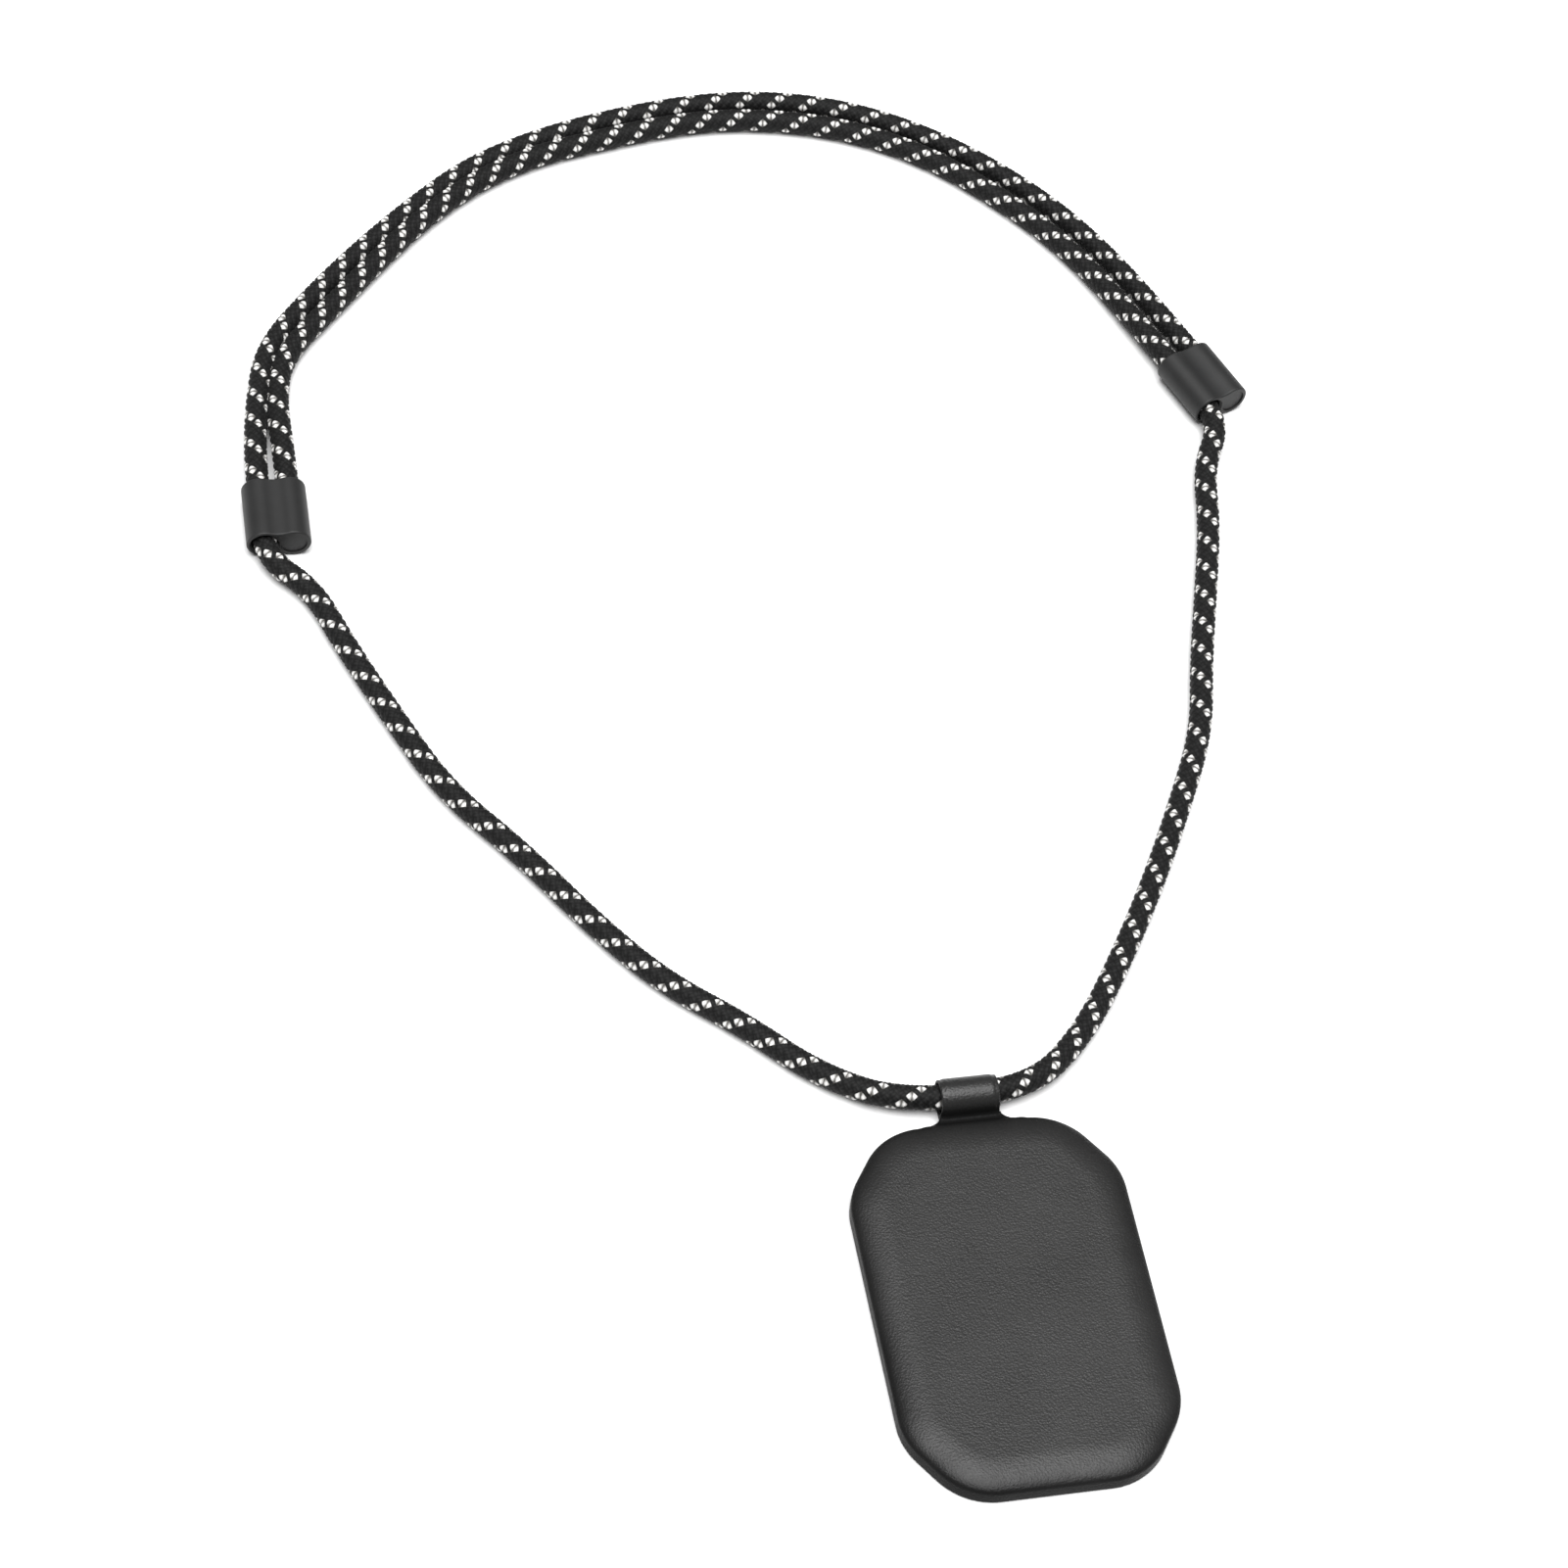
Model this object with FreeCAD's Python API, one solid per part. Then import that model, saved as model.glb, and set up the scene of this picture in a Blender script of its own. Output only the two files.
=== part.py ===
"""Magnetic phone neck lanyard: a leather-covered magnet pad on a loop of braided cord with two sliders.

Lengths are in millimetres. The origin is the centre of the magnet ring on the pad's back face, which
lies on a table. +Y runs along the pad towards its cord loop, +X is to the right and +Z is up.
"""

import FreeCAD
import Part
import math
import os

# Pad
PAD_WIDTH = 65.5
PAD_LENGTH = 95.8
CORNER_CUT_X = 11.4
CORNER_CUT_Y = 16.4
CORNER_RADIUS = 16.5
PAD_HEIGHT = 6.3
WALL_HEIGHT = 3.6
LEATHER = 1.0
PANEL_THICKNESS = 0.8
PANEL_GAP = 0.1
ADHESIVE_THICKNESS = 0.15
CARRIER_THICKNESS = 3.0
CARRIER_INSET = 3.0

# How far in from the outline the front's crown has come at each height above the back face
CROWN = [(0.0, 0.0), (0.0, WALL_HEIGHT), (0.9, 4.7), (3.6, 5.7), (8.0, PAD_HEIGHT)]

# Magnets
RING_OUTER = 27.5
RING_INNER = 23.0
MAGNET_COUNT = 18
MAGNET_THICKNESS = 2.0
MAGNET_GAP_DEG = 0.8
SHUNT_THICKNESS = 0.55
POCKET_CLEARANCE = 0.1
BAR_WIDTH = 5.0
BAR_LENGTH = 12.0
BAR_CENTRE_Y = -37.0

# Cord and the leather loop that it runs through
CORD_DIAMETER = 6.0
LOOP_CLEARANCE = 0.3
LOOP_WALL = 1.15
LOOP_WIDTH = 14.0
LOOP_CENTRE_X = 0.6
LOOP_AXIS_Y = 55.35
NECK_BOTTOM = 0.4
NECK_TOP = 2.8
NECK_FLARE = 2.4
LOOP_OUTER = CORD_DIAMETER / 2 + LOOP_CLEARANCE + LOOP_WALL
LOOP_AXIS_Z = LOOP_OUTER

# Sliders: two lobes side by side, a waist between them and a bore through each
LOBE_RADIUS = 4.5
LOBE_PITCH = 7.4
WAIST_HALF_HEIGHT = 3.9
SLIDER_LENGTH = 18.5
SLIDER_EDGE = 0.5
BORE_RADIUS = 3.4
BORE_LEAD_IN = 0.5
PLUG_RECESS = 0.4
PLUG_THICKNESS = 2.0
SLEEVE_RADIUS = 3.25
SLEEVE_LENGTH = 5.5
SLEEVE_BASE = 0.5
SLEEVE_FIT = 0.02
# Each slider's centre and the angle from +Y to its axis, anticlockwise seen from above
SLIDERS = {"left": ((-139.25, 246.55), -2.0), "right": ((110.25, 267.85), 21.0)}

# The cord's route: from its end in the left slider, round the inside of the double arc, through the
# right slider, down to the pad's loop, up to the left slider and round the outside of the double arc.
CORD_ROUTE = [
    (-135.49, 248.32, 4.5),
    (-134.83, 267.01, 4.5),
    (-133.85, 286.65, 3.2),
    (-130.55, 301.65, 3.0),
    (-116.25, 318.15, 3.0),
    (-101.25, 333.15, 3.0),
    (-86.25, 346.65, 3.0),
    (-70.25, 358.15, 3.0),
    (-53.25, 365.95, 3.0),
    (-36.25, 370.95, 3.0),
    (-19.25, 374.45, 3.0),
    (-2.25, 375.95, 3.0),
    (13.75, 374.95, 3.0),
    (29.25, 370.95, 3.0),
    (43.75, 363.95, 3.0),
    (57.05, 354.25, 3.0),
    (69.55, 342.15, 3.0),
    (81.05, 327.45, 3.0),
    (90.45, 309.95, 3.2),
    (99.41, 285.76, 4.5),
    (111.45, 254.39, 4.5),
    (106.05, 239.65, 3.2),
    (101.45, 221.15, 3.0),
    (94.45, 198.15, 3.0),
    (88.55, 176.15, 3.0),
    (82.25, 155.15, 3.0),
    (71.25, 133.15, 3.0),
    (60.55, 112.65, 3.0),
    (47.75, 91.65, 3.0),
    (32.75, 69.15, 3.0),
    (14.75, 55.35, 4.45),
    (-14.25, 55.35, 4.45),
    (-33.25, 65.65, 3.0),
    (-48.75, 81.15, 3.0),
    (-64.25, 96.35, 3.0),
    (-77.75, 114.65, 3.0),
    (-92.75, 137.15, 3.0),
    (-107.75, 157.95, 3.0),
    (-118.25, 181.65, 3.0),
    (-126.55, 205.15, 3.0),
    (-134.45, 222.35, 3.2),
    (-143.38, 234.29, 4.5),
    (-142.23, 267.27, 4.5),
    (-140.25, 286.95, 3.2),
    (-135.85, 305.15, 3.0),
    (-120.95, 322.65, 3.0),
    (-105.65, 337.75, 3.0),
    (-90.35, 351.55, 3.0),
    (-73.45, 363.75, 3.0),
    (-55.45, 372.05, 3.0),
    (-37.65, 377.25, 3.0),
    (-20.05, 380.85, 3.0),
    (-2.25, 382.45, 3.0),
    (14.85, 381.45, 3.0),
    (31.45, 377.25, 3.0),
    (47.15, 369.65, 3.0),
    (61.45, 359.45, 3.0),
    (74.65, 346.65, 3.0),
    (86.75, 331.15, 3.0),
    (96.75, 312.75, 3.2),
    (106.32, 288.41, 4.5),
    (113.02, 270.95, 4.5),
]
ARC_SHARE = 0.45


def polygon_with_arcs(corners, radius):
    """A closed wire through the corners, each turned into a tangent arc."""
    edges = []
    ends = []
    for index, corner in enumerate(corners):
        before = (corners[index - 1] - corner).normalize()
        after = (corners[(index + 1) % len(corners)] - corner).normalize()
        half = before.getAngle(after) / 2
        setback = radius / math.tan(half)
        middle = corner + (before + after).normalize() * (radius / math.sin(half) - radius)
        arc = Part.Arc(corner + before * setback, middle, corner + after * setback)
        ends.append((corner + before * setback, corner + after * setback))
        edges.append(arc.toShape())
    outline = []
    for index, arc_edge in enumerate(edges):
        start = ends[index - 1][1]
        outline.append(Part.LineSegment(start, ends[index][0]).toShape())
        outline.append(arc_edge)
    return Part.Wire(outline)


def pad_outline(inset, height):
    """The pad's eight-sided outline with rounded corners, moved in by inset."""
    half_width = PAD_WIDTH / 2
    half_length = PAD_LENGTH / 2
    slant = math.hypot(CORNER_CUT_X, CORNER_CUT_Y)
    normal_x = CORNER_CUT_Y / slant
    normal_y = CORNER_CUT_X / slant
    reach = normal_x * (half_width - CORNER_CUT_X) + normal_y * half_length - inset
    side_x = half_width - inset
    end_y = half_length - inset
    top_x = (reach - normal_y * end_y) / normal_x
    side_y = (reach - normal_x * side_x) / normal_y
    quarter = [(side_x, side_y), (top_x, end_y)]
    corners = quarter + [(-x, y) for x, y in reversed(quarter)]
    corners += [(-x, -y) for x, y in corners]
    corners = [FreeCAD.Vector(x, y, height) for x, y in corners]
    return polygon_with_arcs(corners, CORNER_RADIUS - inset)


def pad_slab(levels):
    """A solid with the pad's outline at each (inset, height) of levels."""
    outlines = [pad_outline(inset, height) for inset, height in levels]
    return Part.makeLoft(outlines, True, True)


def front_cover():
    """Moulded leather: the front and the wall round it, open at the back."""
    hollow = [(LEATHER, -1.0)]
    hollow += [(inset + LEATHER, height - LEATHER) for inset, height in CROWN[1:]]
    return pad_slab(CROWN).cut(pad_slab(hollow))


def cord_loop():
    """The leather tongue: a tube round the cord on a neck that flares into the pad's end wall."""
    left_x = LOOP_CENTRE_X - LOOP_WIDTH / 2
    right_x = LOOP_CENTRE_X + LOOP_WIDTH / 2
    centre = FreeCAD.Vector(left_x, LOOP_AXIS_Y, LOOP_AXIS_Z)
    along = FreeCAD.Vector(1, 0, 0)
    tube = Part.makeCylinder(LOOP_OUTER, LOOP_WIDTH, centre, along)
    bore = Part.makeCylinder(LOOP_OUTER - LOOP_WALL, LOOP_WIDTH, centre, along)
    wall_y = PAD_LENGTH / 2
    flare_y = wall_y + NECK_FLARE
    bend = NECK_FLARE * (1 - math.sqrt(0.5))
    bottom = NECK_BOTTOM
    right = FreeCAD.Vector(right_x, flare_y, bottom)
    left = FreeCAD.Vector(left_x, flare_y, bottom)
    right_foot = FreeCAD.Vector(right_x + NECK_FLARE, wall_y, bottom)
    left_foot = FreeCAD.Vector(left_x - NECK_FLARE, wall_y, bottom)
    right_middle = FreeCAD.Vector(right_x + bend, wall_y + bend, bottom)
    left_middle = FreeCAD.Vector(left_x - bend, wall_y + bend, bottom)
    right_tip = FreeCAD.Vector(right_x, LOOP_AXIS_Y, bottom)
    left_tip = FreeCAD.Vector(left_x, LOOP_AXIS_Y, bottom)
    outline = [
        Part.LineSegment(left_foot, right_foot).toShape(),
        Part.Arc(right_foot, right_middle, right).toShape(),
        Part.LineSegment(right, right_tip).toShape(),
        Part.LineSegment(right_tip, left_tip).toShape(),
        Part.LineSegment(left_tip, left).toShape(),
        Part.Arc(left, left_middle, left_foot).toShape(),
    ]
    neck = Part.Face(Part.Wire(outline)).extrude(FreeCAD.Vector(0, 0, NECK_TOP - NECK_BOTTOM))
    return tube.fuse(neck).cut(bore).removeSplitter()


def back_panel():
    """Flat lining that rests against the phone."""
    inset = LEATHER + PANEL_GAP
    return pad_slab([(inset, 0.0), (inset, PANEL_THICKNESS)])


def panel_adhesive():
    """Film that holds the lining to the carrier plate."""
    return pad_slab([(CARRIER_INSET, PANEL_THICKNESS), (CARRIER_INSET, carrier_base())])


def carrier_base():
    return PANEL_THICKNESS + ADHESIVE_THICKNESS


def ring(inner, outer, base, height):
    """A flat ring about the origin's vertical axis."""
    centre = FreeCAD.Vector(0, 0, base)
    return Part.makeCylinder(outer, height, centre).cut(Part.makeCylinder(inner, height, centre))


def bar(width, length, base, height):
    """A flat bar under the ring, on the pad's centre line."""
    corner = FreeCAD.Vector(-width / 2, BAR_CENTRE_Y - length / 2, base)
    return Part.makeBox(width, length, height, corner)


def carrier_plate():
    """Moulded stiffener with a groove for the ring and a slot for the bar, both open at the back."""
    base = carrier_base()
    gap = POCKET_CLEARANCE
    depth = MAGNET_THICKNESS + SHUNT_THICKNESS + gap
    plate = pad_slab([(CARRIER_INSET, base), (CARRIER_INSET, base + CARRIER_THICKNESS)])
    groove = ring(RING_INNER - gap, RING_OUTER + gap, base, depth)
    slot = bar(BAR_WIDTH + 2 * gap, BAR_LENGTH + 2 * gap, base, depth)
    return plate.cut(groove).cut(slot)


def magnet(index):
    """One arc magnet of the ring."""
    pitch = 360.0 / MAGNET_COUNT
    sweep = pitch - MAGNET_GAP_DEG
    centre = FreeCAD.Vector(0, 0, carrier_base())
    up = FreeCAD.Vector(0, 0, 1)
    outer = Part.makeCylinder(RING_OUTER, MAGNET_THICKNESS, centre, up, sweep)
    inner = Part.makeCylinder(RING_INNER, MAGNET_THICKNESS, centre, up, sweep)
    segment = outer.cut(inner)
    segment.rotate(centre, up, 90 - sweep / 2 + index * pitch)
    return segment


def shunt_ring():
    """Steel ring that closes the magnets' field on the front side."""
    return ring(RING_INNER, RING_OUTER, carrier_base() + MAGNET_THICKNESS, SHUNT_THICKNESS)


def alignment_magnet():
    """Bar magnet that turns the phone upright."""
    return bar(BAR_WIDTH, BAR_LENGTH, carrier_base(), MAGNET_THICKNESS)


def shunt_bar():
    """Steel strip over the bar magnet."""
    return bar(BAR_WIDTH, BAR_LENGTH, carrier_base() + MAGNET_THICKNESS, SHUNT_THICKNESS)


def foam_pad():
    """Soft filler between the carrier plate and the crowned leather."""
    base = carrier_base() + CARRIER_THICKNESS
    gap = PANEL_GAP
    top = [(inset + LEATHER + gap, height - LEATHER - gap) for inset, height in CROWN[3:]]
    return pad_slab([(top[0][0] - 1.6, base)] + top)


def place(shape, side):
    """Move a shape from a slider's own frame, axis along +Y, to where that slider lies."""
    (x, y), heading = SLIDERS[side]
    rotation = FreeCAD.Rotation(FreeCAD.Vector(0, 0, 1), heading)
    shape.Placement = FreeCAD.Placement(FreeCAD.Vector(x, y, LOBE_RADIUS), rotation)
    return shape


def rod(radius, start, end, offset_x):
    """A cylinder along a slider's axis, from start to end."""
    base = FreeCAD.Vector(offset_x, start, 0)
    return Part.makeCylinder(radius, end - start, base, FreeCAD.Vector(0, 1, 0))


def cone(small, large, start, end, offset_x):
    """A cone along a slider's axis that grows from small at start to large at end."""
    direction = FreeCAD.Vector(0, 1 if end > start else -1, 0)
    return Part.makeCone(small, large, abs(end - start), FreeCAD.Vector(offset_x, start, 0), direction)


def slider_section(y):
    """Two lobes joined by arcs that curve in to the waist and meet the lobes tangentially."""
    half = LOBE_PITCH / 2
    waist = WAIST_HALF_HEIGHT
    hollow_radius = (half**2 + waist**2 - LOBE_RADIUS**2) / (2 * (LOBE_RADIUS - waist))
    share = LOBE_RADIUS / (LOBE_RADIUS + hollow_radius)
    touch_x = half * (1 - share)
    touch_z = (waist + hollow_radius) * share
    tip = half + LOBE_RADIUS
    points = [
        [(touch_x, -touch_z), (tip, 0), (touch_x, touch_z)],
        [(touch_x, touch_z), (0, waist), (-touch_x, touch_z)],
        [(-touch_x, touch_z), (-tip, 0), (-touch_x, -touch_z)],
        [(-touch_x, -touch_z), (0, -waist), (touch_x, -touch_z)],
    ]
    arcs = [Part.Arc(*[FreeCAD.Vector(x, y, z) for x, z in arc]).toShape() for arc in points]
    return Part.Face(Part.Wire(arcs))


def slider(side):
    """Moulded twin sleeve: the running strand's bore is on -X and the cord end's bore on +X."""
    end = SLIDER_LENGTH / 2
    body = slider_section(-end).extrude(FreeCAD.Vector(0, SLIDER_LENGTH, 0))
    rims = [edge for edge in body.Edges if abs(edge.BoundBox.YLength) < 0.01]
    body = body.makeFillet(SLIDER_EDGE, rims)
    for offset_x in (-LOBE_PITCH / 2, LOBE_PITCH / 2):
        body = body.cut(rod(BORE_RADIUS, -end, end, offset_x))
        body = body.cut(cone(BORE_RADIUS, BORE_RADIUS + BORE_LEAD_IN, end - BORE_LEAD_IN, end, offset_x))
    offset_x = -LOBE_PITCH / 2
    lead_in = cone(BORE_RADIUS, BORE_RADIUS + BORE_LEAD_IN, BORE_LEAD_IN - end, -end, offset_x)
    return place(body.cut(lead_in), side)


def end_plug(side):
    """Disc that closes the cord end's bore, a little below the rim."""
    start = PLUG_RECESS - SLIDER_LENGTH / 2
    return place(rod(BORE_RADIUS, start, start + PLUG_THICKNESS, LOBE_PITCH / 2), side)


def end_sleeve(side, tip):
    """Thin metal cup crimped on one end of the cord. tip is where the cord ends along the slider."""
    offset_x = LOBE_PITCH / 2
    start = tip - SLEEVE_BASE
    cup = rod(SLEEVE_RADIUS, start, start + SLEEVE_LENGTH, offset_x)
    hole = rod(CORD_DIAMETER / 2 + SLEEVE_FIT, tip, start + SLEEVE_LENGTH, offset_x)
    return place(cup.cut(hole), side)


def cord_path(points):
    """Straight runs joined by tangent arcs, each as large as its two runs allow."""
    edges = []
    start = points[0]
    for before, corner, after in zip(points, points[1:], points[2:]):
        back = (before - corner).normalize()
        ahead = (after - corner).normalize()
        setback = ARC_SHARE * min(before.distanceToPoint(corner), after.distanceToPoint(corner))
        half = back.getAngle(ahead) / 2
        radius = setback * math.tan(half)
        middle = corner + (back + ahead).normalize() * (radius / math.sin(half) - radius)
        first = corner + back * setback
        last = corner + ahead * setback
        edges.append(Part.LineSegment(start, first).toShape())
        edges.append(Part.Arc(first, middle, last).toShape())
        start = last
        print(f"arc radius {radius:.0f} mm")
    edges.append(Part.LineSegment(start, points[-1]).toShape())
    return Part.Wire(edges)


def cord():
    """The whole braided cord as a plain tube."""
    points = [FreeCAD.Vector(*point) for point in CORD_ROUTE]
    path = cord_path(points)
    section = Part.Wire(Part.makeCircle(CORD_DIAMETER / 2, points[0], points[1] - points[0]))
    tube = path.makePipeShell([section], True, False)
    expected = math.pi * CORD_DIAMETER**2 / 4 * path.Length
    print(f"cord length {path.Length:.0f} mm, volume {tube.Volume / expected:.4f} of section x length")
    return tube


def cord_tip(side):
    """How far along the slider's axis its end of the cord lies."""
    (x, y), heading = SLIDERS[side]
    tip_x, tip_y, _ = CORD_ROUTE[0] if side == "left" else CORD_ROUTE[-1]
    angle = math.radians(heading)
    return (tip_y - y) * math.cos(angle) - (tip_x - x) * math.sin(angle)


def export(name, shape):
    """Write one piece, which is a single solid."""
    [solid] = shape.Solids
    print(f"{name}: valid {solid.isValid()}, {solid.Volume:.1f} mm3")
    solid.exportStep(f"parts/{name}.step")


os.makedirs("parts", exist_ok=True)
export("front_cover", front_cover())
export("cord_loop", cord_loop())
export("back_panel", back_panel())
export("panel_adhesive", panel_adhesive())
export("carrier_plate", carrier_plate())
for number in range(MAGNET_COUNT):
    export(f"magnet_{number + 1:02d}", magnet(number))
export("shunt_ring", shunt_ring())
export("alignment_magnet", alignment_magnet())
export("shunt_bar", shunt_bar())
export("foam_pad", foam_pad())
export("cord", cord())
for side in SLIDERS:
    export(f"slider_{side}", slider(side))
    export(f"end_plug_{side}", end_plug(side))
    export(f"end_sleeve_{side}", end_sleeve(side, cord_tip(side)))
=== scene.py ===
"""Looks of the magnetic phone neck lanyard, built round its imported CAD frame.

Everything is in metres in the row frame. The pieces made here are the braided cord and the
leather that covers the pad and wraps round the cord. The other pieces are CAD nodes with finished
materials.
"""

import math

import bpy
import numpy as np
from mathutils import Matrix, Vector


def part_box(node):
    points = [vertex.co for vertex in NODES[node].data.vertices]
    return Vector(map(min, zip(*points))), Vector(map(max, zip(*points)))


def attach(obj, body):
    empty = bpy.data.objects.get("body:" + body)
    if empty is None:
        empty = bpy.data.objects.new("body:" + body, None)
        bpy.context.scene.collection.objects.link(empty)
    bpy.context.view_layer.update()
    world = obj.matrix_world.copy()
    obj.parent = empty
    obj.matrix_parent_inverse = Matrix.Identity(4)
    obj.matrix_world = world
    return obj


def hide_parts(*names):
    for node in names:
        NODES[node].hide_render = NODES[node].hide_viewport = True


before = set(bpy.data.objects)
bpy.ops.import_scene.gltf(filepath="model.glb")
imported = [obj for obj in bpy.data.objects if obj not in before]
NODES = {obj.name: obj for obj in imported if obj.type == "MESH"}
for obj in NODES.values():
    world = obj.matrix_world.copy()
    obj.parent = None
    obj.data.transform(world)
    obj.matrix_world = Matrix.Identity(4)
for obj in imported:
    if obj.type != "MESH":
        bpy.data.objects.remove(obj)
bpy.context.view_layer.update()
MM = 0.001

# Camera
CAMERA_PLACE = (-0.23625, -0.47995, 0.8916)
CAMERA_TARGET = (-0.02475, 0.15265, 0.0)
CAMERA_ROLL = math.radians(9.8)
CAMERA_LENS = 103.435
CAMERA_SENSOR = 36.0
CAMERA_CLIP_END = 20.0

# The cord's route. It follows the CAD cord's points, with some moved a little and one more in
# each slider.
CORD_ROUTE = [
    (-0.13549, 0.24832, 0.0045),
    (-0.13483, 0.26701, 0.0045),
    (-0.13455, 0.28675, 0.0032),
    (-0.13075, 0.30175, 0.003),
    (-0.1158, 0.3178, 0.003),
    (-0.1014, 0.3333, 0.003),
    (-0.0871, 0.3476, 0.003),
    (-0.071, 0.3595, 0.003),
    (-0.0538, 0.3673, 0.003),
    (-0.0363, 0.3713, 0.003),
    (-0.01925, 0.37475, 0.003),
    (-0.00225, 0.37625, 0.003),
    (0.01375, 0.37465, 0.003),
    (0.0292, 0.3708, 0.003),
    (0.0438, 0.364, 0.003),
    (0.0571, 0.3544, 0.003),
    (0.0692, 0.3418, 0.003),
    (0.0808, 0.3273, 0.003),
    (0.09045, 0.30995, 0.0032),
    (0.09941, 0.28576, 0.0045),
    (0.10583, 0.26905, 0.0045),
    (0.11181, 0.25346, 0.0045),
    (0.10405, 0.23965, 0.0032),
    (0.10115, 0.22115, 0.003),
    (0.09445, 0.19815, 0.003),
    (0.08795, 0.17635, 0.003),
    (0.08275, 0.15495, 0.003),
    (0.07165, 0.13295, 0.003),
    (0.06055, 0.11265, 0.003),
    (0.04775, 0.09165, 0.003),
    (0.03235, 0.06945, 0.003),
    (0.0158, 0.05535, 0.00445),
    (-0.0152, 0.05535, 0.00445),
    (-0.0329, 0.066, 0.003),
    (-0.048, 0.082, 0.003),
    (-0.0647, 0.096, 0.003),
    (-0.07845, 0.11415, 0.003),
    (-0.09275, 0.13715, 0.003),
    (-0.10845, 0.15755, 0.003),
    (-0.11825, 0.18165, 0.003),
    (-0.12705, 0.20495, 0.003),
    (-0.13275, 0.22315, 0.0032),
    (-0.14342, 0.2332, 0.0045),
    (-0.14285, 0.24915, 0.0045),
    (-0.14223, 0.26727, 0.0045),
    (-0.13945, 0.28685, 0.0032),
    (-0.13495, 0.30465, 0.003),
    (-0.12025, 0.32195, 0.003),
    (-0.10515, 0.33725, 0.003),
    (-0.08985, 0.35095, 0.003),
    (-0.07345, 0.36375, 0.003),
    (-0.05545, 0.37205, 0.003),
    (-0.03765, 0.37725, 0.003),
    (-0.02005, 0.38085, 0.003),
    (-0.00225, 0.38275, 0.003),
    (0.01485, 0.38175, 0.003),
    (0.03155, 0.37755, 0.003),
    (0.04735, 0.36995, 0.003),
    (0.06165, 0.35965, 0.003),
    (0.07485, 0.34685, 0.003),
    (0.08705, 0.33135, 0.003),
    (0.09705, 0.31285, 0.0032),
    (0.10632, 0.28841, 0.0045),
    (0.11302, 0.27095, 0.0045),
]
CORD_RESOLUTION = 48
DIRECTION_REACH = 0.0006  # how far before and after a place the cord's direction is taken
PATH_STEP = 0.001

# Braid: eight yarns each way, each of two ends, one over and one under. The yarns that turn
# left-handed hold two white ones, opposite each other.
YARNS = 8
WHITE_EVERY = 4
BRAID_LEAD = 0.0180
FINE = 4  # mesh steps across one yarn
GROUND_RADIUS = 0.00265
YARN_HEIGHT = 0.00035
WHITE_HEIGHT = 0.00040
ACROSS = (0.0, 1.0, 0.55, 1.0)  # height across a yarn: its two ends and the dip between them
ALONG = (0.0, 0.86, 1.0, 0.86)  # height along a yarn from where it comes up to where it dives
WHITE_FINE = 5  # mesh steps across a white yarn, which is a little fuller than the black ones
WHITE_GROOVE = 0.45  # height left between a white crossing's two ends, which lie fore and aft
FIBRE_SHIFTS = ((3, 23), (5, 29))  # stride and period of the fibres' offset from yarn to yarn

# Leather, in millimetres like all lengths in its distance functions
LEATHER = 1.0
OUTLINE_RADIUS = 16.5
OUTLINE_CUT = (11.4, 16.4)
WALL_HEIGHT = 3.9
WALL_BULGE = 0.05
BASE_BEVEL = 0.25
SHOULDER = 8.6
SHOULDER_POWER = 1.85
SHOULDER_POINTS = 25
DEEP = 60.0  # an inset past the pad's middle, which closes a section there
UNDER = -3.0  # a height below the pad, which opens the cavity downward
TONGUE_HALF_WIDTH = 7.0
TONGUE_FLARE = 3.5
TONGUE_FLARE_REACH = 4.2
TONGUE_EDGE = 1.1
TONGUE_EDGE_STEP = 0.22
TONGUE_EDGE_RAMP = 0.4
TONGUE_OVERLAP = 2.0  # how far the tongue runs back into the pad
TONGUE_WALL = 0.9
TONGUE_BOTTOM = 0.4
TONGUE_TOP = 2.6
NECK_FILLET = 2.6
PAD_FILLET = 3.0
GRID_STEP = 0.4
GRID_MARGIN = 1.0
GRID_BELOW = 0.9
SLOPE_NUDGE = 0.02
SLOPE_LEAST = 0.05
MOVE_MOST = 0.2
MOVE_ROUNDS = 3

# Stage
FLOOR_REACH = 6.0
SKY_STRENGTH = 0.20
LIGHT_DIRECTION = (0.03, 0.10, -1.0)
LIGHT_ANGLE = math.radians(56.0)
LIGHT_STRENGTH = 4.6


# ---------------------------------------------------------------- materials


def node(tree, kind, inputs=(), **settings):
    """A shader node with its settings, and values or links for its inputs by name."""
    made = tree.nodes.new(kind)
    for name, value in settings.items():
        setattr(made, name, value)
    for name, value in dict(inputs).items():
        socket = made.inputs[name]
        if isinstance(value, bpy.types.NodeSocket):
            tree.links.new(value, socket)
        else:
            socket.default_value = value
    return made


def material(name, **constants):
    """A Principled material with the constants on its sockets, and its tree and shader."""
    made = bpy.data.materials.new(name)
    made.use_nodes = True
    tree = made.node_tree
    shader = tree.nodes["Principled BSDF"]
    for key, value in constants.items():
        shader.inputs[key.replace("_", " ")].default_value = value
    return made, tree, shader


def dress(tree, shader, colour, roughness, normal):
    """Link a material's colour, roughness and surface normal to its shader."""
    tree.links.new(colour, shader.inputs["Base Color"])
    tree.links.new(roughness, shader.inputs["Roughness"])
    tree.links.new(normal, shader.inputs["Normal"])


def object_place(tree):
    return node(tree, "ShaderNodeTexCoord").outputs["Object"]


def stretched(tree, coordinates, scale):
    """Coordinates scaled along each axis, so that a noise on them is drawn out."""
    inputs = {"Vector": coordinates, "Scale": scale}
    return node(tree, "ShaderNodeMapping", inputs).outputs["Vector"]


def noise(tree, coordinates, scale, detail=3.0, roughness=0.55):
    inputs = {"Vector": coordinates, "Scale": scale, "Detail": detail, "Roughness": roughness}
    return node(tree, "ShaderNodeTexNoise", inputs).outputs["Fac"]


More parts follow.
